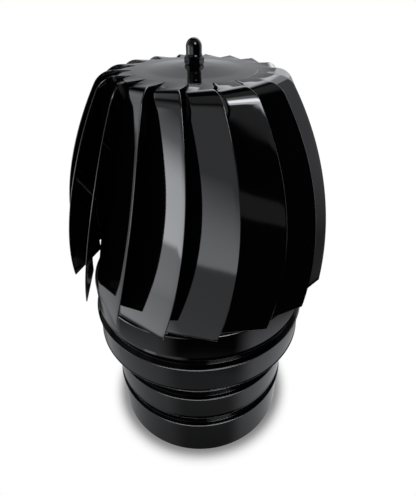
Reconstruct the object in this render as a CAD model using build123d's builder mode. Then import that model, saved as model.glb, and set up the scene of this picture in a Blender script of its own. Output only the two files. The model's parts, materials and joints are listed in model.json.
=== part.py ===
"""Roof turbine ventilator: a ribbed round neck that carries a free-spinning rotor of twisted vanes.

Units are millimetres. +Z is up along the spin axis, and the origin is the centre of the neck's bottom rim.
The pieces are grouped as they come apart on a bench: neck, bearing post, bearings, shaft and rotor.
"""

import math
import os

from build123d import *

# ---------------------------------------------------------------- sheet metal and fits
sheet = 0.8  # neck, disc and vane steel
seat_gap = 0.02  # radial play of a part pushed on by hand

# ---------------------------------------------------------------- overall sizes
spigot_r = 75.0  # outside of the duct spigot
disc_top_z = 301.4  # the flat middle of the disc, which the cap nut stands on
vane_tip_r = 95.8  # widest point of the rotor

# ---------------------------------------------------------------- neck
ledge_z = 98.6  # underside of the ledge between spigot and collar
collar_low_r = spigot_r + 9.5  # collar wall under its rib
collar_top_r = collar_low_r - 1.5  # collar wall over its rib
ledge_r = collar_low_r + 0.4  # outer edge of that ledge
collar_top_z = 151.2  # where the rolled hem starts
hem_r = 1.1  # section radius of the rolled hem
ledge_hole_gap = 2.0  # the collar's flange stands back this far from the spigot
rib_height = 9.3  # the spigot's rolled ribs
low_rib_z = 39.1
high_rib_z = 75.1
collar_rib_height = 6.8
collar_rib_z = 123.5
rib_lip = 1.3  # the lower lip stands proud of the wall
rib_depth = 2.3  # the groove above the lip goes in this deep
rib_run_out = 2.4  # height over which the lip falls back to the wall
rib_ramp = 0.75  # share of the rib's height from the lip to the bottom of the groove

# ---------------------------------------------------------------- deep-groove bearings, 8 x 22 x 7
bearing_bore_r = 4.0
bearing_outer_r = 11.0
bearing_width = 7.0
inner_land_r = bearing_outer_r - 4.95
outer_land_r = bearing_outer_r - 1.45
ball_r = 1.98
ball_pitch_r = (inner_land_r + outer_land_r) / 2
ball_count = 7
race_play = 0.08
cage_thickness = 0.5
cage_back = 0.6  # crown cage: a back ring with one finger between each two balls
cage_finger = 1.0
finger_width = 1.6
shield_thickness = 0.3
shield_inset = 0.2
shield_gap = 0.3

# ---------------------------------------------------------------- bearing post
post_outer_r = bearing_outer_r + 2.5
post_bore_r = bearing_outer_r - 1.6  # between the bearings
hub_bolt_ring_r = post_outer_r + 4.7
post_flange_r = hub_bolt_ring_r + 4.8
post_flange_thickness = 3.0
post_top_z = disc_top_z - 44.8
circlip_thickness = 1.0
circlip_inner_r = bearing_outer_r - 1.4
circlip_groove_depth = 0.6
circlip_gap = 3.0  # between its two eyes
circlip_land = 0.8  # post wall left beyond each groove

# ---------------------------------------------------------------- spider under the bearing post
spider_thickness = 2.5
spider_arm_count = 3
spider_arm_width = 18.0
spider_hub_r = post_flange_r + 1.0
spider_reach_r = collar_low_r - 1.9
bolt_r = 2.0  # M4
bolt_hole_r = 2.25
bolt_head_height = 2.4
nut_across_flats = 7.0
nut_height = 3.2
bolt_proud = 1.2  # thread past the nut
ledge_bolt_ring_r = spigot_r + 4.4  # midway between the two walls
rivet_r = 1.6
rivet_head_r = 2.9
rivet_head_height = 0.9
rivet_offset = 60.0  # each rivet sits midway between two bolts, in degrees

# ---------------------------------------------------------------- shaft stack
shaft_r = 4.0
stud_r = 3.0  # M6 end under the cap nut
spacer_wall = 1.9
washer_r = 5.9
washer_thickness = 1.6
lock_nut_across_flats = 13.0
lock_nut_height = 6.5
shaft_tail = 1.5  # thread past the lock nut

# ---------------------------------------------------------------- rotor head
disc_flat_r = 9.5
disc_edge_r = 38.0
disc_fall = 2.5  # from the flat middle to the edge of the raised part
disc_step = 0.9  # the rim lies this much lower, so that the vane tabs end flush
disc_rim_r = 44.5
hub_plate_r = 24.0
hub_plate_thickness = 2.0
cap_across_flats = 10.5
cap_hex_height = 5.2
cap_dome_r = 4.75
cap_height = 14.4
cap_thread_depth = 8.5

# ---------------------------------------------------------------- vanes
vane_count = 18
vane_tip_z = 162.5
belly_z = 168.0  # where the raised edge is widest
belly_curve_r = 240.0  # radius of its long arc
bend_r = 14.0  # bend at the shoulder of each vane
tab_root_r = 39.6
shoulder_z = disc_top_z - 46.4
first_slit_angle = -75.5
lean_bend = -3.8  # turn of the raised edge from the slit, in degrees, at the bend
lean_shoulder = 1.3
lean_tip = -8.5
pitch_root = 10.0  # angle between the vane's width and the rim, in degrees
pitch_bend = 26.0
pitch_tip = 29.0
pitch_swell = 8.0  # extra turn of the vane part way down
swell_power = 0.75  # under 1 puts that extra turn above the middle
upper_power = 1.75  # how fast the lean comes in above the shoulder
lower_power = 1.8  # and how fast the lean and the width come in below it
dip_bend = 9.4  # fall of the tucked edge below the raised edge, in degrees
dip_tip = 8.6
width_root = 12.1
width_tab = 13.3  # half way along the tab
width_bend = 17.5
width_tip = 44.0

os.makedirs("parts", exist_ok=True)


def save(part, name):
    """Label a finished piece and write it to its own STEP file."""
    part.label = name
    export_step(part, f"parts/{name}.step")


def ring_profile(points):
    """Face in the XZ plane through (radius, height) points, for a revolve about Z."""
    with BuildSketch(Plane.XZ) as profile:
        with BuildLine():
            Polyline(*points, close=True)
        make_face()
    return profile.sketch


def rolled_rib(wall_below, wall_above, z, height):
    """Outer outline of one rolled rib: a lip, then a ramp into a groove, then the wall above."""
    lip_r = wall_below + rib_lip
    groove_r = wall_above - rib_depth
    return [
        (wall_below, z - rib_run_out),
        (lip_r, z),
        (groove_r, z + height * rib_ramp),
        (wall_above, z + height),
    ]


def inside(points):
    """The same outline one sheet further in, running back."""
    return [(r - sheet, z) for r, z in reversed(points)]


# ================================================================ neck
ledge_top_z = ledge_z + sheet
spigot_wall = [(spigot_r, 0.0)]
spigot_wall += rolled_rib(spigot_r, spigot_r, low_rib_z, rib_height)
spigot_wall += rolled_rib(spigot_r, spigot_r, high_rib_z, rib_height)
spigot_wall.append((spigot_r, ledge_z))
ledge_bolt_angles = [90.0 + 360.0 / spider_arm_count * i for i in range(spider_arm_count)]
rivet_angles = [angle + rivet_offset for angle in ledge_bolt_angles]

with BuildPart() as spigot_tube:
    ledge = [(ledge_r, ledge_z), (ledge_r, ledge_top_z), (spigot_r - sheet, ledge_top_z)]
    add(ring_profile(spigot_wall + ledge + inside(spigot_wall)[1:]))
    revolve(axis=Axis.Z)
    with BuildSketch(Plane.XY.offset(ledge_z - 1)):
        for angle in ledge_bolt_angles:
            with PolarLocations(ledge_bolt_ring_r, 1, start_angle=angle):
                Circle(bolt_hole_r)
        for angle in rivet_angles:
            with PolarLocations(ledge_bolt_ring_r, 1, start_angle=angle):
                Circle(rivet_r + seat_gap)
    extrude(amount=2 + sheet, mode=Mode.SUBTRACT)
save(spigot_tube.part, "spigot_tube")

collar_floor_z = ledge_top_z
collar_wall = [(collar_low_r, collar_floor_z)]
collar_wall += rolled_rib(collar_low_r, collar_top_r, collar_rib_z, collar_rib_height)
collar_wall.append((collar_top_r, collar_top_z))
collar_hole_r = spigot_r + ledge_hole_gap

with BuildPart() as neck_collar:
    collar_floor = [(collar_low_r - sheet, collar_floor_z + sheet), (collar_hole_r, collar_floor_z + sheet),
                    (collar_hole_r, collar_floor_z)]
    add(ring_profile(collar_wall + inside(collar_wall)[:-1] + collar_floor))
    revolve(axis=Axis.Z)
    with BuildSketch(Plane.XZ):
        with Locations((collar_top_r - hem_r, collar_top_z)):
            Circle(hem_r)
    revolve(axis=Axis.Z)
    with BuildSketch(Plane.XY.offset(collar_floor_z - 1)):
        for angle in ledge_bolt_angles:
            with PolarLocations(ledge_bolt_ring_r, 1, start_angle=angle):
                Circle(bolt_hole_r)
        for angle in rivet_angles:
            with PolarLocations(ledge_bolt_ring_r, 1, start_angle=angle):
                Circle(rivet_r + seat_gap)
    extrude(amount=2 + sheet, mode=Mode.SUBTRACT)
save(neck_collar.part, "neck_collar")

# ================================================================ spider and its fasteners
spider_z = collar_floor_z + sheet
spider_top_z = spider_z + spider_thickness
spider_hole_r = bearing_outer_r + 0.5

with BuildPart() as bearing_spider:
    with BuildSketch(Plane.XY.offset(spider_z)):
        Circle(spider_hub_r)
        for angle in ledge_bolt_angles:
            with PolarLocations(spider_reach_r / 2, 1, start_angle=angle):
                Rectangle(spider_reach_r, spider_arm_width)
        with Locations((0, 0)):
            Circle(spider_reach_r, mode=Mode.INTERSECT)
            Circle(spider_hole_r, mode=Mode.SUBTRACT)
        for angle in ledge_bolt_angles:
            with PolarLocations(ledge_bolt_ring_r, 1, start_angle=angle):
                Circle(bolt_hole_r, mode=Mode.SUBTRACT)
            with PolarLocations(hub_bolt_ring_r, 1, start_angle=angle):
                Circle(bolt_hole_r, mode=Mode.SUBTRACT)
    extrude(amount=spider_thickness)
save(bearing_spider.part, "bearing_spider")


def bolt_set(ring_r, low_z, high_z, name):
    """One bolt from below at each arm, from the head's seat at low_z to the nut's seat at high_z."""
    length = high_z - low_z + nut_height + bolt_proud
    with BuildPart() as bolts:
        with BuildSketch(Plane.XY.offset(low_z)):
            with PolarLocations(ring_r, spider_arm_count, start_angle=ledge_bolt_angles[0]):
                Circle(bolt_r)
        extrude(amount=length)
        with BuildSketch(Plane.XY.offset(low_z - bolt_head_height)):
            with PolarLocations(ring_r, spider_arm_count, start_angle=ledge_bolt_angles[0]):
                RegularPolygon(nut_across_flats / 2, 6, major_radius=False)
        extrude(amount=bolt_head_height)
    save(bolts.part, f"{name}_bolts")
    with BuildPart() as nuts:
        with BuildSketch(Plane.XY.offset(high_z)):
            with PolarLocations(ring_r, spider_arm_count, start_angle=ledge_bolt_angles[0]):
                RegularPolygon(nut_across_flats / 2, 6, major_radius=False)
                Circle(bolt_r + seat_gap, mode=Mode.SUBTRACT)
        extrude(amount=nut_height)
    save(nuts.part, f"{name}_nuts")


bolt_set(ledge_bolt_ring_r, ledge_z, spider_top_z, "ledge")
bolt_set(hub_bolt_ring_r, spider_z, spider_top_z + post_flange_thickness, "post")

with BuildPart() as ledge_rivets:
    for angle in rivet_angles:
        with BuildSketch(Plane.XY.offset(ledge_z - rivet_head_height)):
            with PolarLocations(ledge_bolt_ring_r, 1, start_angle=angle):
                Circle(rivet_head_r)
        extrude(amount=rivet_head_height)
        with BuildSketch(Plane.XY.offset(ledge_z)):
            with PolarLocations(ledge_bolt_ring_r, 1, start_angle=angle):
                Circle(rivet_r)
        extrude(amount=2 * sheet)
        with BuildSketch(Plane.XY.offset(spider_z)):
            with PolarLocations(ledge_bolt_ring_r, 1, start_angle=angle):
                Circle(rivet_head_r)
        extrude(amount=rivet_head_height)
save(ledge_rivets.part, "ledge_rivets")

# ================================================================ bearing post
seat_r = bearing_outer_r + seat_gap
post_z = spider_top_z
lower_clip_z = post_z + circlip_land
lower_bearing_z = lower_clip_z + circlip_thickness
lower_shoulder_z = lower_bearing_z + bearing_width
upper_clip_z = post_top_z - circlip_land - circlip_thickness
upper_bearing_z = upper_clip_z - bearing_width
clip_groove_r = seat_r + circlip_groove_depth
clip_slack = 0.1

with BuildPart() as bearing_post:
    add(ring_profile([
        (seat_r, post_z), (post_outer_r, post_z), (post_outer_r, post_top_z), (seat_r, post_top_z),
        (seat_r, upper_clip_z + circlip_thickness), (clip_groove_r, upper_clip_z + circlip_thickness),
        (clip_groove_r, upper_clip_z), (seat_r, upper_clip_z),
        (seat_r, upper_bearing_z), (post_bore_r, upper_bearing_z), (post_bore_r, lower_shoulder_z),
        (seat_r, lower_shoulder_z), (seat_r, lower_bearing_z), (clip_groove_r, lower_bearing_z),
        (clip_groove_r, lower_clip_z), (seat_r, lower_clip_z)]))
    revolve(axis=Axis.Z)
save(bearing_post.part, "bearing_post")

with BuildPart() as post_flange:
    with BuildSketch(Plane.XY.offset(post_z)):
        Circle(post_flange_r)
        Circle(post_outer_r + seat_gap, mode=Mode.SUBTRACT)
        with PolarLocations(hub_bolt_ring_r, spider_arm_count, start_angle=ledge_bolt_angles[0]):
            Circle(bolt_hole_r, mode=Mode.SUBTRACT)
    extrude(amount=post_flange_thickness)
save(post_flange.part, "post_flange")


def circlip(z, name):
    """Internal circlip: a ring open on one side, with two eyes for the pliers."""
    with BuildPart() as clip:
        with BuildSketch(Plane.XY.offset(z)):
            Circle(clip_groove_r - clip_slack)
            Circle(circlip_inner_r, mode=Mode.SUBTRACT)
            with Locations((circlip_inner_r, 0)):
                Rectangle(2 * (clip_groove_r - circlip_inner_r) + circlip_gap, circlip_gap,
                          mode=Mode.SUBTRACT)
        extrude(amount=circlip_thickness)
    save(clip.part, name)


circlip(upper_clip_z, "upper_circlip")
circlip(lower_clip_z, "lower_circlip")


def bearing(z, name):
    """Two rings, a caged row of balls and two shields, from the underside at z."""
    middle_z = z + bearing_width / 2
    groove_r = ball_r + race_play
    with BuildPart() as inner:
        add(ring_profile([(bearing_bore_r + seat_gap, z), (inner_land_r, z),
                          (inner_land_r, z + bearing_width), (bearing_bore_r + seat_gap, z + bearing_width)]))
        revolve(axis=Axis.Z)
        with BuildSketch(Plane.XZ):
            with Locations((ball_pitch_r, middle_z)):
                Circle(groove_r)
        revolve(axis=Axis.Z, mode=Mode.SUBTRACT)
    save(inner.part, f"{name}_inner_ring")
    with BuildPart() as outer:
        add(ring_profile([(outer_land_r, z), (bearing_outer_r, z), (bearing_outer_r, z + bearing_width),
                          (outer_land_r, z + bearing_width)]))
        revolve(axis=Axis.Z)
        with BuildSketch(Plane.XZ):
            with Locations((ball_pitch_r, middle_z)):
                Circle(groove_r)
        revolve(axis=Axis.Z, mode=Mode.SUBTRACT)
    save(outer.part, f"{name}_outer_ring")
    with BuildPart() as balls:
        with Locations((0, 0, middle_z)):
            with PolarLocations(ball_pitch_r, ball_count):
                Sphere(ball_r)
    save(balls.part, f"{name}_balls")
    with BuildPart() as cage:
        with BuildSketch(Plane.XY.offset(middle_z + ball_r + race_play)):
            Circle(ball_pitch_r + cage_thickness)
            Circle(ball_pitch_r - cage_thickness, mode=Mode.SUBTRACT)
        extrude(amount=cage_back)
        with BuildSketch(Plane.XY.offset(middle_z - cage_finger)):
            with PolarLocations(ball_pitch_r, ball_count, start_angle=180 / ball_count):
                Rectangle(2 * cage_thickness, finger_width)
        extrude(amount=cage_finger + ball_r + race_play)
    save(cage.part, f"{name}_cage")
    with BuildPart() as shields:
        for low_z in (z + shield_inset, z + bearing_width - shield_inset - shield_thickness):
            with BuildSketch(Plane.XY.offset(low_z)):
                Circle(outer_land_r)
                Circle(inner_land_r + shield_gap, mode=Mode.SUBTRACT)
            extrude(amount=shield_thickness)
    save(shields.part, f"{name}_shields")


bearing(upper_bearing_z, "upper")
bearing(lower_bearing_z, "lower")

# ================================================================ shaft stack
disc_under_z = disc_top_z - sheet
hub_plate_z = disc_under_z - hub_plate_thickness
washer_z = lower_bearing_z - washer_thickness
lock_nut_z = washer_z - lock_nut_height
shaft_end_z = lock_nut_z - shaft_tail
stud_top_z = disc_top_z + cap_thread_depth - 1.0
stud_chamfer = 0.6

with BuildPart() as shaft:
    with BuildSketch(Plane.XY.offset(shaft_end_z)):
        Circle(shaft_r)
    extrude(amount=hub_plate_z - shaft_end_z)
    with BuildSketch(Plane.XY.offset(hub_plate_z)):
        Circle(stud_r)
    extrude(amount=stud_top_z - hub_plate_z)
    ends = shaft.edges().filter_by(GeomType.CIRCLE).group_by(Axis.Z)
    chamfer(ends[0] + ends[-1], stud_chamfer)
save(shaft.part, "shaft")


def sleeve(inner_r, outer_r, low_z, high_z, name):
    """Plain round sleeve, washer or plate on the shaft."""
    with BuildPart() as ring:
        with BuildSketch(Plane.XY.offset(low_z)):
            Circle(outer_r)
            Circle(inner_r, mode=Mode.SUBTRACT)
        extrude(amount=high_z - low_z)
    save(ring.part, name)


spacer_r = shaft_r + spacer_wall
sleeve(shaft_r + seat_gap, spacer_r, upper_bearing_z + bearing_width, hub_plate_z, "upper_spacer")
sleeve(shaft_r + seat_gap, spacer_r, lower_bearing_z + bearing_width, upper_bearing_z, "inner_spacer")
sleeve(shaft_r + seat_gap, washer_r, washer_z, lower_bearing_z, "lower_washer")

with BuildPart() as lock_nut:
    with BuildSketch(Plane.XY.offset(lock_nut_z)):
        RegularPolygon(lock_nut_across_flats / 2, 6, major_radius=False)
        Circle(shaft_r + seat_gap, mode=Mode.SUBTRACT)
    extrude(amount=lock_nut_height)
save(lock_nut.part, "lock_nut")

# ================================================================ rotor head
disc_edge_z = disc_top_z - disc_fall
rim_top_z = disc_edge_z - disc_step

with BuildPart() as top_disc:
    add(ring_profile([
        (stud_r + seat_gap, disc_top_z), (disc_flat_r, disc_top_z), (disc_edge_r, disc_edge_z),
        (disc_edge_r + sheet / 2, disc_edge_z - sheet / 4), (disc_edge_r + sheet, rim_top_z),
        (disc_rim_r, rim_top_z), (disc_rim_r, rim_top_z - sheet), (disc_edge_r, rim_top_z - sheet),
        (disc_edge_r - sheet, disc_edge_z - sheet), (disc_flat_r, disc_under_z),
        (stud_r + seat_gap, disc_under_z)]))
    revolve(axis=Axis.Z)
save(top_disc.part, "top_disc")

disc_slope = disc_fall / (disc_edge_r - sheet - disc_flat_r)
hub_plate_fall = disc_slope * (hub_plate_r - disc_flat_r)

with BuildPart() as hub_plate:
    add(ring_profile([
        (stud_r + seat_gap, disc_under_z), (disc_flat_r, disc_under_z),
        (hub_plate_r, disc_under_z - hub_plate_fall), (hub_plate_r, hub_plate_z - hub_plate_fall),
        (disc_flat_r, hub_plate_z), (stud_r + seat_gap, hub_plate_z)]))
    revolve(axis=Axis.Z)
save(hub_plate.part, "hub_plate")

cap_hex_top_z = disc_top_z + cap_hex_height
cap_straight_z = disc_top_z + cap_height - cap_dome_r
cap_corner_r = cap_across_flats / math.sqrt(3)
cap_chamfer = 0.7

with BuildPart() as cap_nut:
    with BuildSketch(Plane.XY.offset(disc_top_z)):
        RegularPolygon(cap_across_flats / 2, 6, major_radius=False)
    extrude(amount=cap_hex_height)
    with BuildSketch(Plane.XZ):
        with BuildLine():
            Polyline((0, disc_top_z), (cap_corner_r - cap_chamfer, disc_top_z),
                     (cap_corner_r, disc_top_z + cap_chamfer), (cap_corner_r, cap_hex_top_z - cap_chamfer),
                     (cap_corner_r - cap_chamfer * 1.7, cap_hex_top_z), (0, cap_hex_top_z), (0, disc_top_z))
        make_face()
    revolve(axis=Axis.Z, mode=Mode.INTERSECT)
    with BuildSketch(Plane.XY.offset(cap_hex_top_z)):
        Circle(cap_dome_r)
    extrude(amount=cap_straight_z - cap_hex_top_z)
    with Locations((0, 0, cap_straight_z)):
        Sphere(cap_dome_r)
    with BuildSketch(Plane.XY.offset(disc_top_z)):
        Circle(stud_r + seat_gap)
    extrude(amount=cap_thread_depth, mode=Mode.SUBTRACT)
save(cap_nut.part, "cap_nut")

# ================================================================ vanes
tab_top_z = rim_top_z + sheet  # the tabs lie on the rim
arc_centre_r = vane_tip_r - math.sqrt(belly_curve_r**2 - (vane_tip_z - belly_z) ** 2)
bend_rise = tab_top_z - bend_r - belly_z
bend_centre_r = arc_centre_r + math.sqrt((belly_curve_r - bend_r) ** 2 - bend_rise**2)
bend_angle = math.atan2(bend_rise, bend_centre_r - arc_centre_r)
bend_end_r = arc_centre_r + belly_curve_r * math.cos(bend_angle)
bend_end_z = belly_z + belly_curve_r * math.sin(bend_angle)
shoulder_r = arc_centre_r + math.sqrt(belly_curve_r**2 - (shoulder_z - belly_z) ** 2)


def mix(start, end, share):
    """Value between start and end."""
    return start + (end - start) * share


def ease(share, power):
    """Rise from 0 to 1 that is quick at first and slows at the end."""
    return 1 - (1 - share) ** power


def raised_edge(share):
    """Radius and height of the raised edge: 0 at the root, 1 at the bend, 2 past it, 3 at the tip."""
    if share <= 1:
        return mix(tab_root_r, bend_centre_r, share), tab_top_z
    if share <= 2:
        turn = mix(math.pi / 2, bend_angle, share - 1)
        return bend_centre_r + bend_r * math.cos(turn), tab_top_z - bend_r + bend_r * math.sin(turn)
    tip_angle = math.asin((vane_tip_z - belly_z) / belly_curve_r)
    turn = mix(bend_angle, tip_angle, share - 2)
    return arc_centre_r + belly_curve_r * math.cos(turn), belly_z + belly_curve_r * math.sin(turn)


def edge_point(share, turn):
    """Point of the raised edge, with its lean about the axis, on the vane turned by an angle."""
    radius, z = raised_edge(share)
    if share <= 1:
        lean = mix(0, lean_bend, (radius - tab_root_r) / (bend_centre_r - tab_root_r))
    elif radius < shoulder_r and z > shoulder_z:
        way = (radius - bend_centre_r) / (shoulder_r - bend_centre_r)
        lean = mix(lean_bend, lean_shoulder, ease(way, upper_power))
    else:
        lean = mix(lean_shoulder, lean_tip, ((shoulder_z - z) / (shoulder_z - vane_tip_z)) ** lower_power)
    angle = math.radians(turn + lean)
    return Vector(radius * math.cos(angle), radius * math.sin(angle), z), angle


def vane_section(share, turn):
    """Plane at the raised edge, with x across the vane to its tucked edge, and the vane's width there."""
    point, angle = edge_point(share, turn)
    outward = Vector(math.cos(angle), math.sin(angle), 0)
    around = Vector(-math.sin(angle), math.cos(angle), 0)
    if share <= 0.5:
        pitch, dip, width = pitch_root, 0, mix(width_root, width_tab, share * 2)
    elif share <= 2:
        part_way = (share - 0.5) / 1.5
        pitch = mix(pitch_root, pitch_bend, part_way)
        dip = dip_bend * part_way
        width = mix(width_tab, width_bend, part_way)
    else:
        part_way = max(bend_end_z - point.Z, 0) / (bend_end_z - vane_tip_z)
        pitch = mix(pitch_bend, pitch_tip, part_way)
        pitch += pitch_swell * math.sin(math.pi * min(part_way, 1) ** swell_power)
        dip = mix(dip_bend, dip_tip, part_way)
        width = mix(width_bend, width_tip, ease(part_way, lower_power))
    pitch = math.radians(pitch)
    dip = math.radians(dip)
    across = around * (-math.cos(pitch) * math.cos(dip)) - outward * (math.sin(pitch) * math.cos(dip))
    across = across - Vector(0, 0, math.sin(dip))
    before, _ = edge_point(max(share - 0.02, 0), turn)
    after, _ = edge_point(min(share + 0.02, 3), turn)
    along = (after - before).normalized()
    along = (along - across * along.dot(across)).normalized()
    return Plane(origin=point, x_dir=across, z_dir=along), width


tab_stations = [0.0, 0.5, 1.0]
bend_stations = [1.0, 1.25, 1.5, 1.75, 2.0]
body_stations = [2.0 + i / 7 for i in range(8)]

for index in range(vane_count):
    slit_angle = first_slit_angle + 360.0 / vane_count * index
    with BuildPart() as vane:
        for stations in (tab_stations, bend_stations, body_stations):
            for station in stations:
                plane, vane_width = vane_section(station, slit_angle)
                with BuildSketch(plane):
                    Rectangle(vane_width, sheet, align=(Align.MIN, Align.MAX))
            loft()
    save(vane.part, f"vane_{index + 1:02d}")
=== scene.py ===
"""Looks of the roof turbine ventilator: gloss black sheet metal, plated inner parts and studio."""

import json
import math

import bmesh
import bpy
from mathutils import Matrix, Vector

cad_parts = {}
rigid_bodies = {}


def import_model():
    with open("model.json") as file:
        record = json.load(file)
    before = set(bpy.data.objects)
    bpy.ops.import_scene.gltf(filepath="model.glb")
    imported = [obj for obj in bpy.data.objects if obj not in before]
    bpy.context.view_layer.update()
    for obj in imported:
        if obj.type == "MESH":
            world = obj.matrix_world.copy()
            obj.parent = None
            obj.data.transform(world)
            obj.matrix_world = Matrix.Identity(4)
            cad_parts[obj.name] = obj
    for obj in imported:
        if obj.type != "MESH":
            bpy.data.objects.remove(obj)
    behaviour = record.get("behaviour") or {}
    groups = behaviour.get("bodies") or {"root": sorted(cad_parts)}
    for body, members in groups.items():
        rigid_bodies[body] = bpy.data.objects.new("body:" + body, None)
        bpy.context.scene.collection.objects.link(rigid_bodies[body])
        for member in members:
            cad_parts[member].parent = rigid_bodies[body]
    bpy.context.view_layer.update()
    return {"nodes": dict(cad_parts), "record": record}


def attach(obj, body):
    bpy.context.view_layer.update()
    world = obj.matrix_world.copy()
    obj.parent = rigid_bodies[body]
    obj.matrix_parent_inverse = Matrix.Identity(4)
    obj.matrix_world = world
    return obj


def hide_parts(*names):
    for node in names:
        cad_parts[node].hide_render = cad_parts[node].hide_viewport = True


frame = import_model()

MM = 0.001

# ---------------------------------------------------------------- sheet metal of the neck
SHEET = 0.8 * MM
SPIGOT_R = 75.0 * MM
LEDGE_Z, LEDGE_R = 98.6 * MM, 84.9 * MM
COLLAR_LOW_R, COLLAR_TOP_R = 84.5 * MM, 83.0 * MM
COLLAR_TOP_Z, HEM_R = 151.2 * MM, 1.1 * MM
COLLAR_HOLE_R = 77.0 * MM
RIB_HEIGHT, LOW_RIB_Z, HIGH_RIB_Z = 9.3 * MM, 39.1 * MM, 75.1 * MM
COLLAR_RIB_HEIGHT, COLLAR_RIB_Z = 6.8 * MM, 123.5 * MM
RIB_LIP, RIB_DEPTH, RIB_RUN_OUT = 1.3 * MM, 2.3 * MM, 2.4 * MM
RIB_SHELF_FALL, RIB_EDGE = 0.3 * MM, 0.25 * MM
RIB_BENDS = [1.6 * MM, 0.5 * MM, 0.3 * MM, 0.6 * MM, 1.6 * MM]
RIB_BACK_BENDS = [1.6 * MM] * 3
LEDGE_BEND, LEDGE_BACK_BEND = 0.9 * MM, 1.7 * MM
COLLAR_SHEET, COLLAR_BEND, COLLAR_BACK_BEND = 0.9 * SHEET, 0.7 * MM, 0.3 * MM
HEM_TURN, HEM_STEPS = math.radians(300), 12

# ---------------------------------------------------------------- fineness of the meshes
TURNED_SEGMENTS, NUT_SEGMENTS = 220, 96
CORNER_STEPS, CORNER_SHARE = 8, 0.45
SUPPORT, SUPPORTED_STRETCH = 0.25 * MM, 8
SPIGOT_CUT_EDGE, COLLAR_CUT_EDGE, DISC_CUT_EDGE = 0.15 * MM, 0.1 * MM, 0.12 * MM
CUT_EDGE_SEGMENTS, CUT_EDGE_ANGLE = 2, 70
SHEET_SMOOTH_ANGLE, NUT_SMOOTH_ANGLE = 50, 35
SAME_PLACE = 1e-6

# ---------------------------------------------------------------- disc and nut
DISC_TOP_Z = 301.4 * MM
DISC_FLAT_R, DISC_EDGE_R, DISC_RIM_R = 9.5 * MM, 38.3 * MM, 41.5 * MM
DISC_EASE_R, DISC_EASE = 29.0 * MM, 0.35 * MM
DISC_FALL, DISC_STEP = 2.5 * MM, 0.9 * MM
RIM_TOP_Z = DISC_TOP_Z - DISC_FALL - DISC_STEP
DISC_BENDS, DISC_STEP_SET_IN = [60.0 * MM, 60.0 * MM, 0.2 * MM, 0.3 * MM], 0.4 * MM
STUD_HOLE_R = 3.02 * MM
CAP_FLATS, CAP_HEX_H, CAP_DOME_R, CAP_H = 10.5 * MM, 5.2 * MM, 4.75 * MM, 14.4 * MM
CAP_TURN, CAP_EDGE, CAP_EDGE_SEGMENTS = math.radians(30), 0.25 * MM, 3
CHAMFER_WIDE, CHAMFER_TOP, CHAMFER_FOOT = 1.45, 0.80, 0.88
DOME_START, DOME_STEPS = 0.9, 16
DOME_FOOT, DOME_WAIST, DOME_FLARE_H = 0.5 * MM, 0.35 * MM, 0.5 * MM

# ---------------------------------------------------------------- vanes, with angles in degrees
VANES = sorted(name for name in frame["nodes"] if name.startswith("vane_"))
VANE_PITCH = 360.0 / len(VANES)
TIP_R, TIP_Z = 95.8 * MM, 162.5 * MM
BELLY_Z, BELLY_CURVE_R, BEND_R = 168.0 * MM, 240.0 * MM, 14.0 * MM
TAB_ROOT_R, SHOULDER_Z = 39.6 * MM, 255.0 * MM
ROOT_R, ROOT_RISE, SLIT_ANGLE, TAB_BLEND = 38.1 * MM, 0.08 * MM, 0.5, 0.5
FIRST_SLIT = -75.5
LEAN_BEND, LEAN_SHOULDER, LEAN_TIP = -3.8, 1.3, -8.5
PITCH_ROOT, PITCH_BEND, PITCH_TIP = 10.0, 26.0, 29.0
PITCH_SWELL, SWELL_POWER = 8.0, 0.75
UPPER_POWER, LOWER_POWER, WIDTH_POWER = 1.75, 1.8, 3.5
DIP_TAB, DIP_TURN, DIP_BEND, DIP_TIP = 3.0, 7.5, 9.4, 8.6
WIDTH_TAB, WIDTH_BEND, WIDTH_TIP, WIDTH_SWELL = 13.3 * MM, 17.5 * MM, 44.0 * MM, 3.5 * MM
TAB_ROWS, BEND_ROWS, BODY_ROWS, VANE_COLUMNS = 8, 16, 44, 12
VANE_EDGE, VANE_EDGE_SEGMENTS, VANE_EDGE_ANGLE = 0.36 * MM, 4, 50


# ================================================================ helpers
def deselect():
    """Nothing selected and no object in edit mode."""
    if bpy.context.object and bpy.context.object.mode != "OBJECT":
        bpy.ops.object.mode_set(mode="OBJECT")
    bpy.ops.object.select_all(action="DESELECT")


def activate(piece):
    """Make one piece the only selected and the active one."""
    deselect()
    piece.select_set(True)
    bpy.context.view_layer.objects.active = piece


def settle(piece, name):
    """Apply place, turn and scale, so that the finished object sits at the origin, and name it."""
    activate(piece)
    bpy.ops.object.transform_apply(location=True, rotation=True, scale=True)
    piece.name = name
    piece.data.name = name


def apply_modifier(piece, kind, **values):
    """Add a modifier, set its values and apply it to the mesh."""
    activate(piece)
    modifier = piece.modifiers.new(kind.lower(), kind)
    for key, value in values.items():
        setattr(modifier, key, value)
    bpy.ops.object.modifier_apply(modifier=modifier.name)


def smooth(piece, angle):
    """Smooth shading with hard edges over an angle."""
    activate(piece)
    bpy.ops.object.shade_smooth_by_angle(angle=math.radians(angle))


def finish_piece(piece, body, slot, material, *nodes):
    """Give a piece its material and body, and hide the CAD nodes that it stands for. The slot is
    not used.
    """
    piece.data.materials.clear()
    piece.data.materials.append(material)
    if nodes:
        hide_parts(*nodes)
    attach(piece, body)


def mix(start, end, share):
    """Value between start and end."""
    return start + (end - start) * share


def ease(share, power):
    """Rise from 0 to 1 that is quick at first and slower at the end."""
    return 1 - (1 - share) ** power


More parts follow.
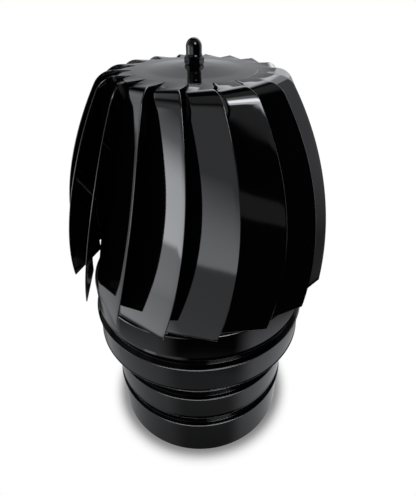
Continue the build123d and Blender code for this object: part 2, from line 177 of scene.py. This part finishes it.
# ================================================================ materials
RIPPLE_SCALE, RIPPLE_DETAIL = 28.0, 1.0
PEEL_SCALE, PEEL_DETAIL = 420.0, 2.0
HAZE_SCALE, HAZE_DETAIL = 60.0, 4.0
BLACK_BASE = (0.0008, 0.0008, 0.0009, 1)
STEEL_DETAIL, STEEL_DARK_SHARE, STEEL_DARK_AT, STEEL_LIGHT_AT = 5.0, 0.78, 0.3, 0.7
NYLON_SCALE, NYLON_DETAIL, NYLON_ROUGHNESS = 900.0, 2.0, 0.45
NYLON_DARK, NYLON_LIGHT = (0.72, 0.69, 0.60, 1), (0.82, 0.79, 0.70, 1)


def new_material(name):
    """Material with its nodes switched on; returns it, its nodes, its links and its shader."""
    material = bpy.data.materials.new(name)
    material.use_nodes = True
    nodes, links = material.node_tree.nodes, material.node_tree.links
    return material, nodes, links, nodes["Principled BSDF"]


def new_group(name, inputs, outputs):
    """Shader node group with number sockets; returns it and its input and output nodes."""
    group = bpy.data.node_groups.new(name, "ShaderNodeTree")
    for direction, sockets in (("INPUT", inputs), ("OUTPUT", outputs)):
        for socket in sockets:
            group.interface.new_socket(socket, in_out=direction, socket_type="NodeSocketFloat")
    return group, group.nodes.new("NodeGroupInput"), group.nodes.new("NodeGroupOutput")


def place_group(nodes, group, **values):
    """Group node in a material, with values for its inputs."""
    node = nodes.new("ShaderNodeGroup")
    node.node_tree = group
    for socket, value in values.items():
        node.inputs[socket].default_value = value
    return node


def object_noise(nodes, links):
    """Noise that stays fixed to the object."""
    place, noise = nodes.new("ShaderNodeTexCoord"), nodes.new("ShaderNodeTexNoise")
    links.new(place.outputs["Object"], noise.inputs["Vector"])
    return noise


def sprayed_finish_group():
    """Node group: slow ripple and fine orange peel as one height, and patches of haze."""
    group, source, result = new_group("sprayed_finish", ("Ripple", "Peel"), ("Height", "Haze"))
    nodes, links = group.nodes, group.links
    total = nodes.new("ShaderNodeMath")
    total.operation = "ADD"
    waves = (("Ripple", RIPPLE_SCALE, RIPPLE_DETAIL), ("Peel", PEEL_SCALE, PEEL_DETAIL))
    for term, (socket, scale, detail) in zip(total.inputs, waves):
        noise = object_noise(nodes, links)
        noise.inputs["Scale"].default_value = scale
        noise.inputs["Detail"].default_value = detail
        weight = nodes.new("ShaderNodeMath")
        weight.operation = "MULTIPLY"
        links.new(noise.outputs["Fac"], weight.inputs[0])
        links.new(source.outputs[socket], weight.inputs[1])
        links.new(weight.outputs[0], term)
    links.new(total.outputs[0], result.inputs["Height"])
    patches = object_noise(nodes, links)
    patches.inputs["Scale"].default_value = HAZE_SCALE
    patches.inputs["Detail"].default_value = HAZE_DETAIL
    links.new(patches.outputs["Fac"], result.inputs["Haze"])
    return group


def fine_grain_group():
    """Node group: cloudy grain of plated metal and moulded plastic."""
    group, source, result = new_group("fine_grain", ("Scale", "Detail"), ("Grain",))
    noise = object_noise(group.nodes, group.links)
    for socket in ("Scale", "Detail"):
        group.links.new(source.outputs[socket], noise.inputs[socket])
    group.links.new(noise.outputs["Fac"], result.inputs["Grain"])
    return group


SPRAYED_FINISH = sprayed_finish_group()
FINE_GRAIN = fine_grain_group()


def link_roughness(nodes, links, mask, shader, low, high):
    """Roughness that runs from low to high with a mask."""
    polish = nodes.new("ShaderNodeMapRange")
    polish.inputs["To Min"].default_value = low
    polish.inputs["To Max"].default_value = high
    links.new(mask, polish.inputs["Value"])
    links.new(polish.outputs["Result"], shader.inputs["Roughness"])


def link_colour(nodes, links, mask, shader, stops):
    """Base colour that runs with a mask between two stops of position and colour."""
    ramp = nodes.new("ShaderNodeValToRGB")
    for element, (position, colour) in zip(ramp.color_ramp.elements, stops):
        element.position, element.color = position, colour
    links.new(mask, ramp.inputs["Fac"])
    links.new(ramp.outputs["Color"], shader.inputs["Base Color"])


def gloss_black(name, ior, ripple, peel, bump, rough_low, rough_high):
    """Deep gloss black finish: a dark base with faint orange peel and uneven polish."""
    material, nodes, links, shader = new_material(name)
    shader.inputs["Base Color"].default_value = BLACK_BASE
    shader.inputs["IOR"].default_value = ior
    finish = place_group(nodes, SPRAYED_FINISH, Ripple=ripple, Peel=peel)
    relief = nodes.new("ShaderNodeBump")
    relief.inputs["Distance"].default_value = bump
    relief.inputs["Strength"].default_value = 1.0
    links.new(finish.outputs["Height"], relief.inputs["Height"])
    links.new(relief.outputs["Normal"], shader.inputs["Normal"])
    link_roughness(nodes, links, finish.outputs["Haze"], shader, rough_low, rough_high)
    return material


def plated_steel(name, colour, rough_low, rough_high, scale):
    """Plated or ground steel: metallic, with a fine cloudy grain in colour and polish."""
    material, nodes, links, shader = new_material(name)
    shader.inputs["Metallic"].default_value = 1.0
    grain = place_group(nodes, FINE_GRAIN, Scale=scale, Detail=STEEL_DETAIL).outputs["Grain"]
    link_roughness(nodes, links, grain, shader, rough_low, rough_high)
    dark = [part * STEEL_DARK_SHARE for part in colour]
    link_colour(nodes, links, grain, shader,
                [(STEEL_DARK_AT, (*dark, 1)), (STEEL_LIGHT_AT, (*colour, 1))])
    return material


def moulded_nylon(name):
    """Natural nylon of the ball cages."""
    material, nodes, links, shader = new_material(name)
    grain = place_group(nodes, FINE_GRAIN, Scale=NYLON_SCALE, Detail=NYLON_DETAIL).outputs["Grain"]
    link_colour(nodes, links, grain, shader, [(0.0, NYLON_DARK), (1.0, NYLON_LIGHT)])
    shader.inputs["Roughness"].default_value = NYLON_ROUGHNESS
    return material


# Gloss black: IOR, ripple, peel, bump distance, lowest and highest roughness
# Plated steel: colour, lowest and highest roughness, scale of the grain
MATERIALS = {
    "gloss_black": gloss_black("gloss_black", 1.52, 1.0, 0.012, 0.00012, 0.035, 0.075),
    "black_nut": gloss_black("black_nut", 1.34, 0.2, 0.02, 0.00006, 0.04, 0.08),
    "zinc_steel": plated_steel("zinc_steel", (0.62, 0.63, 0.65), 0.22, 0.38, 260.0),
    "spring_steel": plated_steel("spring_steel", (0.10, 0.10, 0.105), 0.30, 0.45, 500.0),
    "bearing_steel": plated_steel("bearing_steel", (0.70, 0.70, 0.71), 0.08, 0.16, 700.0),
    "cage_nylon": moulded_nylon("cage_nylon"),
}


def dress_cad_nodes():
    """Carry the CAD nodes that stay over in the finish of their slots."""
    for entry in frame["record"]["subparts"]:
        node = frame["nodes"][entry["node"]]
        node.data.materials.clear()
        node.data.materials.append(MATERIALS[entry["material_slot"]])


# ================================================================ turned sheet metal
def rounded(points, radii):
    """Outline through (radius, height) points, with every corner between rounded by its radius."""
    outline = [Vector(points[0])]
    for before, corner, after, radius in zip(points, points[1:], points[2:], radii):
        corner, into = Vector(corner), Vector(before) - Vector(corner)
        out = Vector(after) - corner
        half = into.angle(out) / 2
        reach = min(radius / math.tan(half), into.length * CORNER_SHARE, out.length * CORNER_SHARE)
        first, last = corner + into.normalized() * reach, corner + out.normalized() * reach
        for step in range(CORNER_STEPS + 1):
            share = step / CORNER_STEPS
            rest = 1 - share
            outline.append(first * rest**2 + corner * 2 * share * rest + last * share**2)
    outline.append(Vector(points[-1]))
    return outline


def supported(outline):
    """Outline with a point near both ends of each long stretch, which keeps its shading flat."""
    points = outline[:1]
    for start, end in zip(outline, outline[1:]):
        along = end - start
        if along.length > SUPPORTED_STRETCH * SUPPORT:
            points += [start + along.normalized() * SUPPORT, end - along.normalized() * SUPPORT]
        points.append(end)
    return points


def turned(name, outline, closed=True, segments=TURNED_SEGMENTS):
    """Spin an outline about Z; an outline that isn't closed begins and ends on the axis."""
    deselect()
    bpy.ops.mesh.primitive_plane_add(size=0.01, location=(0, 0, 0))
    piece = bpy.context.object
    bpy.ops.object.mode_set(mode="EDIT")
    bpy.ops.mesh.delete(type="VERT")
    mesh = bmesh.from_edit_mesh(piece.data)
    row = [mesh.verts.new((point.x, 0, point.y)) for point in supported(outline)]
    for start, end in zip(row, row[1:] + row[:1] if closed else row[1:]):
        mesh.edges.new((start, end))
    bmesh.update_edit_mesh(piece.data)
    bpy.ops.mesh.select_all(action="SELECT")
    bpy.ops.mesh.spin(steps=segments, angle=math.tau, center=(0, 0, 0), axis=(0, 0, 1))
    bpy.ops.mesh.select_all(action="SELECT")
    bpy.ops.mesh.remove_doubles(threshold=SAME_PLACE)
    bpy.ops.mesh.normals_make_consistent(inside=False)
    bpy.ops.object.mode_set(mode="OBJECT")
    settle(piece, name)
    return piece


def turned_sheet(name, outside, inside, cut_edge):
    """Closed sheet between the outlines of its two sides, with softened cut edges."""
    piece = turned(name, outside + inside[::-1])
    apply_modifier(piece, "BEVEL", width=cut_edge, segments=CUT_EDGE_SEGMENTS,
                   limit_method="ANGLE", angle_limit=math.radians(CUT_EDGE_ANGLE))
    smooth(piece, SHEET_SMOOTH_ANGLE)
    return piece


def rib(wall_below, wall_above, z, height):
    """Corners of the outer side of one rolled rib, from the wall below it to the wall above it.

    The lip turns in over a narrow gutter, and the sheet leans out again to a slight edge above.
    """
    return [(wall_below, z - RIB_RUN_OUT), (wall_below + RIB_LIP, z),
            (wall_above - RIB_DEPTH, z - RIB_SHELF_FALL), (wall_above + RIB_EDGE, z + height),
            (wall_above, z + height + RIB_RUN_OUT)]


def rib_back(wall_below, wall_above, z, height):
    """Corners of the inner side of one rolled rib, which doesn't follow the fold of the lip."""
    return [(wall_below, z - RIB_RUN_OUT), (wall_above - RIB_DEPTH, z - RIB_SHELF_FALL),
            (wall_above, z + height)]


def make_spigot():
    """Ribbed spigot with the ledge that carries the collar."""
    bore_r = SPIGOT_R - SHEET
    outside, inside = [(SPIGOT_R, 0.0)], [(bore_r, 0.0)]
    for z in (LOW_RIB_Z, HIGH_RIB_Z):
        outside += rib(SPIGOT_R, SPIGOT_R, z, RIB_HEIGHT)
        inside += rib_back(bore_r, bore_r, z, RIB_HEIGHT)
    outside += [(SPIGOT_R, LEDGE_Z), (LEDGE_R, LEDGE_Z)]
    inside += [(bore_r, LEDGE_Z + SHEET), (LEDGE_R, LEDGE_Z + SHEET)]
    piece = turned_sheet("ribbed_spigot", rounded(outside, RIB_BENDS * 2 + [LEDGE_BEND]),
                         rounded(inside, RIB_BACK_BENDS * 2 + [LEDGE_BACK_BEND]), SPIGOT_CUT_EDGE)
    finish_piece(piece, "neck", "gloss_black", MATERIALS["gloss_black"], "spigot_tube")


def make_collar():
    """Wider collar over the ledge, with one rolled rib and a rolled hem around the top."""
    floor_z, back_z = LEDGE_Z + SHEET, LEDGE_Z + SHEET + COLLAR_SHEET
    back_low_r, back_top_r = COLLAR_LOW_R - COLLAR_SHEET, COLLAR_TOP_R - COLLAR_SHEET
    outside = [(COLLAR_HOLE_R, floor_z), (COLLAR_LOW_R, floor_z)]
    outside += rib(COLLAR_LOW_R, COLLAR_TOP_R, COLLAR_RIB_Z, COLLAR_RIB_HEIGHT)
    outside = rounded(outside + [(COLLAR_TOP_R, COLLAR_TOP_Z)], [COLLAR_BEND] + RIB_BENDS)
    inside = [(COLLAR_HOLE_R, back_z), (back_low_r, back_z)]
    inside += rib_back(back_low_r, back_top_r, COLLAR_RIB_Z, COLLAR_RIB_HEIGHT)
    inside = rounded(inside + [(back_top_r, COLLAR_TOP_Z)], [COLLAR_BACK_BEND] + RIB_BACK_BENDS)
    hem_centre = Vector((COLLAR_TOP_R - HEM_R, COLLAR_TOP_Z))
    for step in range(1, HEM_STEPS + 1):
        turn = HEM_TURN * step / HEM_STEPS
        along = Vector((math.cos(turn), math.sin(turn)))
        outside.append(hem_centre + HEM_R * along)
        inside.append(hem_centre + (HEM_R - COLLAR_SHEET) * along)
    piece = turned_sheet("hemmed_collar", outside, inside, COLLAR_CUT_EDGE)
    finish_piece(piece, "neck", "gloss_black", MATERIALS["gloss_black"], "neck_collar")


def make_disc():
    """Raised disc with a shallow cone, a flat middle and a stepped rim for the vane tabs."""
    edge_z = DISC_TOP_Z - DISC_FALL
    outside = [(STUD_HOLE_R, DISC_TOP_Z), (DISC_FLAT_R, DISC_TOP_Z),
               (DISC_EASE_R, edge_z + DISC_EASE), (DISC_EDGE_R, edge_z),
               (DISC_EDGE_R + SHEET, RIM_TOP_Z), (DISC_RIM_R, RIM_TOP_Z)]
    set_in = (0, 0, 0, DISC_STEP_SET_IN, DISC_STEP_SET_IN, 0)
    inside = [(radius - step, z - SHEET) for (radius, z), step in zip(outside, set_in)]
    piece = turned_sheet("raised_disc", rounded(outside, DISC_BENDS), rounded(inside, DISC_BENDS),
                         DISC_CUT_EDGE)
    finish_piece(piece, "rotor", "gloss_black", MATERIALS["gloss_black"], "top_disc")


# ================================================================ cap nut
def cap_hexagon(corner_r):
    """Hexagon of the nut, chamfered above and below."""
    middle = (0, 0, DISC_TOP_Z + CAP_HEX_H / 2)
    deselect()
    bpy.ops.mesh.primitive_cylinder_add(vertices=6, radius=corner_r, depth=CAP_HEX_H,
                                        location=middle)
    hexagon = bpy.context.object
    bpy.ops.object.transform_apply(location=True, rotation=True, scale=True)
    hexagon.data.transform(Matrix.Rotation(CAP_TURN, 4, "Z"))
    apply_modifier(hexagon, "BEVEL", width=CAP_EDGE, segments=CAP_EDGE_SEGMENTS,
                   limit_method="ANGLE")
    for foot, top in ((CHAMFER_WIDE, CHAMFER_TOP), (CHAMFER_FOOT, CHAMFER_WIDE)):
        deselect()
        bpy.ops.mesh.primitive_cone_add(vertices=NUT_SEGMENTS, radius1=corner_r * foot,
                                        radius2=corner_r * top, depth=CAP_HEX_H, location=middle)
        cone = bpy.context.object
        apply_modifier(hexagon, "BOOLEAN", object=cone, operation="INTERSECT", solver="EXACT")
        bpy.data.objects.remove(cone)
    return hexagon


def cap_dome():
    """Tall round cap of the nut, which starts a little inside the hexagon."""
    start_z, hex_top_z = DISC_TOP_Z + CAP_HEX_H * DOME_START, DISC_TOP_Z + CAP_HEX_H
    dome_z = DISC_TOP_Z + CAP_H - CAP_DOME_R
    corners = [(0, start_z), (CAP_DOME_R + DOME_FOOT, start_z),
               (CAP_DOME_R + DOME_WAIST, hex_top_z), (CAP_DOME_R, hex_top_z + DOME_FLARE_H),
               (CAP_DOME_R, dome_z)]
    outline = [Vector(corner) for corner in corners]
    for step in range(1, DOME_STEPS + 1):
        turn = math.pi / 2 * step / DOME_STEPS
        height = dome_z + CAP_DOME_R * math.sin(turn)
        outline.append(Vector((CAP_DOME_R * math.cos(turn), height)))
    return turned("dome", outline, closed=False, segments=NUT_SEGMENTS)


def make_cap_nut():
    """Domed nut: a chamfered hexagon with a tall round cap."""
    hexagon, dome = cap_hexagon(CAP_FLATS / math.sqrt(3)), cap_dome()
    activate(dome)
    hexagon.select_set(True)
    bpy.context.view_layer.objects.active = hexagon
    bpy.ops.object.join()
    settle(hexagon, "domed_nut")
    smooth(hexagon, NUT_SMOOTH_ANGLE)
    finish_piece(hexagon, "rotor", "black_nut", MATERIALS["black_nut"], "cap_nut")


# ================================================================ vanes
ARC_R = TIP_R - math.sqrt(BELLY_CURVE_R**2 - (TIP_Z - BELLY_Z) ** 2)
TAB_TOP_Z = RIM_TOP_Z + SHEET
BEND_RISE = TAB_TOP_Z - BEND_R - BELLY_Z
BEND_CENTRE_R = ARC_R + math.sqrt((BELLY_CURVE_R - BEND_R) ** 2 - BEND_RISE**2)
BEND_ANGLE = math.atan2(BEND_RISE, BEND_CENTRE_R - ARC_R)
BEND_END_Z = BELLY_Z + BELLY_CURVE_R * math.sin(BEND_ANGLE)
SHOULDER_R = ARC_R + math.sqrt(BELLY_CURVE_R**2 - (SHOULDER_Z - BELLY_Z) ** 2)


def raised_edge(share):
    """Radius and height of the raised edge; share is 1 at the bend, 2 past it and 3 at the tip."""
    if share <= 1:
        return mix(TAB_ROOT_R, BEND_CENTRE_R, share), TAB_TOP_Z
    if share <= 2:
        turn = mix(math.pi / 2, BEND_ANGLE, share - 1)
        return BEND_CENTRE_R + BEND_R * math.cos(turn), TAB_TOP_Z - BEND_R + BEND_R * math.sin(turn)
    turn = mix(BEND_ANGLE, math.asin((TIP_Z - BELLY_Z) / BELLY_CURVE_R), share - 2)
    return ARC_R + BELLY_CURVE_R * math.cos(turn), BELLY_Z + BELLY_CURVE_R * math.sin(turn)


def edge_lean(share):
    """Turn of the raised edge about the axis, in degrees, from its slit."""
    radius, z = raised_edge(share)
    if share <= 1:
        return mix(0, LEAN_BEND, share)
    if radius < SHOULDER_R and z > SHOULDER_Z:
        part_way = (radius - BEND_CENTRE_R) / (SHOULDER_R - BEND_CENTRE_R)
        return mix(LEAN_BEND, LEAN_SHOULDER, ease(part_way, UPPER_POWER))
    part_way = (SHOULDER_Z - z) / (SHOULDER_Z - TIP_Z)
    return mix(LEAN_SHOULDER, LEAN_TIP, part_way**LOWER_POWER)


def root_point(across_share):
    """Point of the tab's inner end, which follows the edge of the raised disc."""
    angle = math.radians(FIRST_SLIT - across_share * (VANE_PITCH - SLIT_ANGLE))
    return Vector((ROOT_R * math.cos(angle), ROOT_R * math.sin(angle), TAB_TOP_Z + ROOT_RISE))


def vane_section(share):
    """Turn and dip of the sheet, in degrees, and its width at one place down the raised edge."""
    if share <= 2:
        part_way = (share - TAB_BLEND) / (2 - TAB_BLEND)
        pitch, width = mix(PITCH_ROOT, PITCH_BEND, part_way), mix(WIDTH_TAB, WIDTH_BEND, part_way)
        if share <= 1:
            return pitch, mix(DIP_TAB, DIP_TURN, (share - TAB_BLEND) / (1 - TAB_BLEND)), width
        return pitch, mix(DIP_TURN, DIP_BEND, share - 1), width
    z = raised_edge(share)[1]
    part_way = min(max((BEND_END_Z - z) / (BEND_END_Z - TIP_Z), 0), 1)
    pitch = mix(PITCH_BEND, PITCH_TIP, part_way)
    pitch += PITCH_SWELL * math.sin(math.pi * part_way**SWELL_POWER)
    width = mix(WIDTH_BEND, WIDTH_TIP, ease(part_way, WIDTH_POWER))
    width += WIDTH_SWELL * math.sin(math.pi * part_way)
    return pitch, mix(DIP_BEND, DIP_TIP, part_way), width


def vane_point(share, across_share):
    """Point of the outer face: share runs down the raised edge, across_share to the tucked edge."""
    if share < TAB_BLEND:
        start, end = root_point(across_share), vane_point(TAB_BLEND, across_share)
        return mix(start, end, share / TAB_BLEND)
    radius, z = raised_edge(share)
    angle = math.radians(FIRST_SLIT + edge_lean(share))
    out = Vector((math.cos(angle), math.sin(angle), 0))
    tangent = Vector((-math.sin(angle), math.cos(angle), 0))
    pitch, dip, width = vane_section(share)
    pitch, dip = math.radians(pitch), math.radians(dip)
    across = -tangent * math.cos(pitch) * math.cos(dip) - out * math.sin(pitch) * math.cos(dip)
    across.z -= math.sin(dip)
    return out * radius + Vector((0, 0, z)) + across * width * across_share


def vane_rows():
    """Stations down the vane, close together over the tab and the bend."""
    tab = [i / TAB_ROWS for i in range(TAB_ROWS)]
    bend = [1 + i / BEND_ROWS for i in range(BEND_ROWS)]
    body = [2 + i / BODY_ROWS for i in range(BODY_ROWS + 1)]
    return tab + bend + body


def make_vane():
    """One twisted vane: a grid bent to shape, given its sheet thickness and softened edges."""
    rows, last_column = vane_rows(), VANE_COLUMNS - 1
    deselect()
    bpy.ops.mesh.primitive_grid_add(x_subdivisions=last_column, y_subdivisions=len(rows) - 1,
                                    size=1.0)
    vane = bpy.context.object
    for vertex in vane.data.vertices:
        column = round((vertex.co.x + 0.5) * last_column)
        row = round((vertex.co.y + 0.5) * (len(rows) - 1))
        vertex.co = vane_point(rows[row], column / last_column)
    mesh = bmesh.new()
    mesh.from_mesh(vane.data)
    mesh.normal_update()
    facing = sum(f.normal.dot(f.calc_center_median().normalized()) for f in mesh.faces)
    if facing < 0:
        bmesh.ops.reverse_faces(mesh, faces=mesh.faces)
    mesh.to_mesh(vane.data)
    mesh.free()
    apply_modifier(vane, "SOLIDIFY", thickness=SHEET, offset=-1.0, use_even_offset=True)
    apply_modifier(vane, "BEVEL", width=VANE_EDGE, segments=VANE_EDGE_SEGMENTS,
                   limit_method="ANGLE", angle_limit=math.radians(VANE_EDGE_ANGLE))
    return vane


def make_vanes():
    """All the vanes: the first one, then copies turned about the axis."""
    first = make_vane()
    for index, node in enumerate(VANES):
        piece = first
        if index:
            piece = first.copy()
            piece.data = first.data.copy()
            bpy.context.scene.collection.objects.link(piece)
            piece.data.transform(Matrix.Rotation(math.radians(VANE_PITCH * index), 4, "Z"))
        piece.name = "twisted_" + node
    for node in VANES:
        piece = bpy.data.objects["twisted_" + node]
        smooth(piece, SHEET_SMOOTH_ANGLE)
        finish_piece(piece, "rotor", "gloss_black", MATERIALS["gloss_black"], node)


# ================================================================ studio
CAMERA_PLACE = (0.0, -0.25898, 0.34891)
CAMERA_PITCH, CAMERA_YAW, CAMERA_ROLL = 35.256, 1.710, -0.271
CAMERA_LENS, CAMERA_NEAR = 28.824, 0.01
FLOOR_SIZE = 40.0
# Painted contact shadow on the floor: reach and samples of the ambient occlusion, the occlusion at
# which the painted shadow is darkest, and its darkness.
PAINTED_SHADOW_REACH, PAINTED_SHADOW_SAMPLES = 0.018, 24
PAINTED_SHADOW_AO_LOW, PAINTED_SHADOW_DARK = 0.55, 0.25
SURROUND = 1.0
ROOM_TINT = (0.985, 1.0, 1.045, 1)

# Light cards around the object, in degrees, with the bearing 0 to the right and -90 in front and
# the height above the horizon: bearing range, its softness, height range, its softness below and
# above, brightness
CARDS = [
    ((-192, -158), 4, (-13, 8), 1.2, 9, 6.1),
    ((-192, -152), 5, (-38, 18), 3, 10, 1.8),
    ((-152, -137), 4, (-43, 18), 3, 10, 1.5),
    ((-192, -152), 6, (-28, 14), 8, 8, 2.3),
    ((-146, -105), 9, (-12.5, 2), 0.7, 14, 2.7),
    ((-192, -108), 8, (-41, 36), 3, 9, 0.64),
    ((-192, 40), 15, (46, 95), 8, 3, 0.28),
    ((-80, -50), 6, (31, 54), 2.5, 4, 9.0),
    ((-80, -50), 6, (38, 52), 3, 4, 18.0),
    ((-80, -50), 6, (31, 66), 2.5, 5, 2.0),
    ((-93, -73), 1, (-1.5, 3.5), 0.3, 0.3, 0.2),
    ((-79, -60), 1.2, (18, 32), 1.2, 3, 0.3),
    ((-8.5, 60), 2, (-14, 40), 14, 12, 0.52),
    ((-8.5, 60), 2, (-30, 0), 4, 10, 0.18),
    ((62, 104), 8, (-6, 45), 4, 16, 0.52),
    ((30, 74), 4, (4, 45), 5, 10, 2.2),
    ((15, 80), 6, (-29, 6), 3, 5, 1.3),
    ((60, 100), 8, (28, 50), 3, 8, 3.0),
    ((130, 168), 10, (0, 50), 2.5, 14, 1.1),
    ((130, 168), 10, (-52, 10), 6, 8, 0.46),
]
# Floor in the reflections: dark in front, lighter at the sides, lightest to the right. Bearings
# are left, right and softness; heights are where a part sets in and where it is complete.
FLOOR_FRONT, FLOOR_FRONT_BEARING, FLOOR_FRONT_HEIGHT = 0.19, (-128, -38, 15), (-49.5, -53.5)
FLOOR_SIDE, FLOOR_SIDE_HEIGHT = 0.37, (-41.0, -49.0)
FLOOR_RIGHT, FLOOR_RIGHT_BEARING = 0.22, (-45, 95, 30)
FLOOR_BELOW, FLOOR_BELOW_HEIGHT = 2.0, (-66.0, -74.0)
FLOOR_DIM, FLOOR_DIM_HEIGHT = 0.3, (-64.0, -51.0)


def new_node(tree, kind, sources=(), **settings):
    """Node with its settings, and with values or links for the named inputs in sources."""
    node = tree.nodes.new(kind)
    for key, value in settings.items():
        setattr(node, key, value)
    for socket, value in dict(sources).items():
        if isinstance(value, (int, float)):
            node.inputs[socket].default_value = value
        else:
            tree.links.new(value, node.inputs[socket])
    return node


def maths(tree, operation, *values):
    """Result of one maths node fed with sockets or plain numbers."""
    return new_node(tree, "ShaderNodeMath", enumerate(values), operation=operation).outputs[0]


def ramp(tree, value, start, end, low=0.0, high=1.0):
    """Smooth change from low at start to high at end; start may be the larger."""
    if start > end:
        start, end, low, high = end, start, high, low
    sources = {"Value": value, "From Min": start, "From Max": end, "To Min": low, "To Max": high}
    node = new_node(tree, "ShaderNodeMapRange", sources, interpolation_type="SMOOTHSTEP")
    return node.outputs["Result"]


def window(tree, value, low, high, soft_low, soft_high):
    """1 between low and high, with soft shoulders outside them."""
    rise = ramp(tree, value, low - soft_low, low + soft_low)
    fall = ramp(tree, value, high + soft_high, high - soft_high)
    return maths(tree, "MULTIPLY", rise, fall)


def around(tree, bearing, left, right, soft):
    """1 between two bearings, with soft shoulders; the range may wrap round behind."""
    middle, half = (left + right) / 2, (right - left) / 2
    away = maths(tree, "WRAP", maths(tree, "SUBTRACT", bearing, middle), 180.0, -180.0)
    return ramp(tree, maths(tree, "ABSOLUTE", away), half + soft, half - soft)


def make_camera():
    """Camera that looks down on the cowl from close by."""
    data = bpy.data.cameras.new("studio_camera")
    data.lens = CAMERA_LENS
    data.clip_start = CAMERA_NEAR
    camera = bpy.data.objects.new("studio_camera", data)
    bpy.context.scene.collection.objects.link(camera)
    turn = Matrix.Rotation(math.radians(-CAMERA_YAW), 4, "Z")
    turn = turn @ Matrix.Rotation(math.radians(90 - CAMERA_PITCH), 4, "X")
    turn = turn @ Matrix.Rotation(math.radians(CAMERA_ROLL), 4, "Z")
    camera.matrix_world = Matrix.Translation(CAMERA_PLACE) @ turn
    bpy.context.scene.camera = camera


def make_floor():
    """White floor that glows evenly, with a painted contact shadow where the spigot stands on it
    and painted shade inside the spigot.
    """
    deselect()
    bpy.ops.mesh.primitive_plane_add(size=FLOOR_SIZE, location=(0, 0, 0))
    floor = bpy.context.object
    floor.name = "studio_floor"
    material = bpy.data.materials.new("floor_white")
    material.use_nodes = True
    tree = material.node_tree
    tree.nodes.remove(tree.nodes["Principled BSDF"])
    # Painted contact shadow: the floor's glow is dimmed where ambient occlusion finds the spigot
    # close by.
    shadow_occlusion = new_node(tree, "ShaderNodeAmbientOcclusion", {"Distance": PAINTED_SHADOW_REACH},
                      samples=PAINTED_SHADOW_SAMPLES)
    painted_contact_shadow = ramp(tree, shadow_occlusion.outputs["AO"], PAINTED_SHADOW_AO_LOW, 1.0, PAINTED_SHADOW_DARK, 1.0)
    place = new_node(tree, "ShaderNodeTexCoord")
    reach = new_node(tree, "ShaderNodeVectorMath", {0: place.outputs["Object"]}, operation="LENGTH")
    # Painted shade: the floor's glow is cut out inside the spigot, where the floor would lie in
    # shade.
    outside = ramp(tree, reach.outputs["Value"], SPIGOT_R - 2 * SHEET, SPIGOT_R - SHEET)
    glow = new_node(tree, "ShaderNodeEmission",
                    {"Strength": maths(tree, "MULTIPLY", painted_contact_shadow, outside)})
    tree.links.new(glow.outputs["Emission"], tree.nodes["Material Output"].inputs["Surface"])
    floor.data.materials.append(material)
    floor.visible_glossy = False


def reflected_floor(tree, bearing, height):
    """Brightness of the floor in the reflections."""
    front = around(tree, bearing, *FLOOR_FRONT_BEARING)
    right = maths(tree, "MULTIPLY", around(tree, bearing, *FLOOR_RIGHT_BEARING), FLOOR_RIGHT)
    dim = maths(tree, "MULTIPLY", ramp(tree, height, *FLOOR_DIM_HEIGHT), 1 - FLOOR_DIM)
    dim = maths(tree, "ADD", dim, FLOOR_DIM)
    ahead = maths(tree, "MULTIPLY", dim, ramp(tree, height, *FLOOR_FRONT_HEIGHT))
    ahead = maths(tree, "MULTIPLY", maths(tree, "MULTIPLY", ahead, FLOOR_FRONT), front)
    side = maths(tree, "MULTIPLY", maths(tree, "ADD", right, FLOOR_SIDE), dim)
    side = maths(tree, "MULTIPLY", side, ramp(tree, height, *FLOOR_SIDE_HEIGHT))
    side = maths(tree, "MULTIPLY", side, maths(tree, "SUBTRACT", 1.0, front))
    below = maths(tree, "MULTIPLY", ramp(tree, height, *FLOOR_BELOW_HEIGHT), FLOOR_BELOW)
    return maths(tree, "MAXIMUM", below, maths(tree, "ADD", side, ahead))


def reflected_room(tree):
    """Brightness of the reflections in each direction: a dark room, light cards and the floor."""
    place = new_node(tree, "ShaderNodeTexCoord")
    split = new_node(tree, "ShaderNodeSeparateXYZ", {"Vector": place.outputs["Generated"]})
    bearing = maths(tree, "ARCTAN2", split.outputs["Y"], split.outputs["X"])
    bearing = maths(tree, "MULTIPLY", bearing, math.degrees(1))
    height = maths(tree, "MULTIPLY", maths(tree, "ARCSINE", split.outputs["Z"]), math.degrees(1))
    total = reflected_floor(tree, bearing, height)
    for (left, right), soft, (low, high), soft_low, soft_high, power in CARDS:
        card = maths(tree, "MULTIPLY", around(tree, bearing, left, right, soft),
                     window(tree, height, low, high, soft_low, soft_high))
        total = maths(tree, "MAXIMUM", total, maths(tree, "MULTIPLY", card, power))
    return total


def make_lights():
    """White surround for the floor, and the room that shows in the reflections alone."""
    scene = bpy.context.scene
    scene.view_settings.view_transform = "Standard"
    scene.view_settings.look = "None"
    world = bpy.data.worlds.new("studio")
    world.use_nodes = True
    tree = world.node_tree
    background = tree.nodes["Background"]
    background.inputs["Color"].default_value = ROOM_TINT
    path = new_node(tree, "ShaderNodeLightPath")
    strength = new_node(tree, "ShaderNodeMix", data_type="FLOAT")
    tree.links.new(path.outputs["Is Glossy Ray"], strength.inputs["Factor"])
    strength.inputs["A"].default_value = SURROUND
    tree.links.new(reflected_room(tree), strength.inputs["B"])
    tree.links.new(strength.outputs["Result"], background.inputs["Strength"])
    scene.world = world


dress_cad_nodes()
make_spigot()
make_collar()
make_disc()
make_cap_nut()
make_vanes()
make_camera()
make_floor()
make_lights()
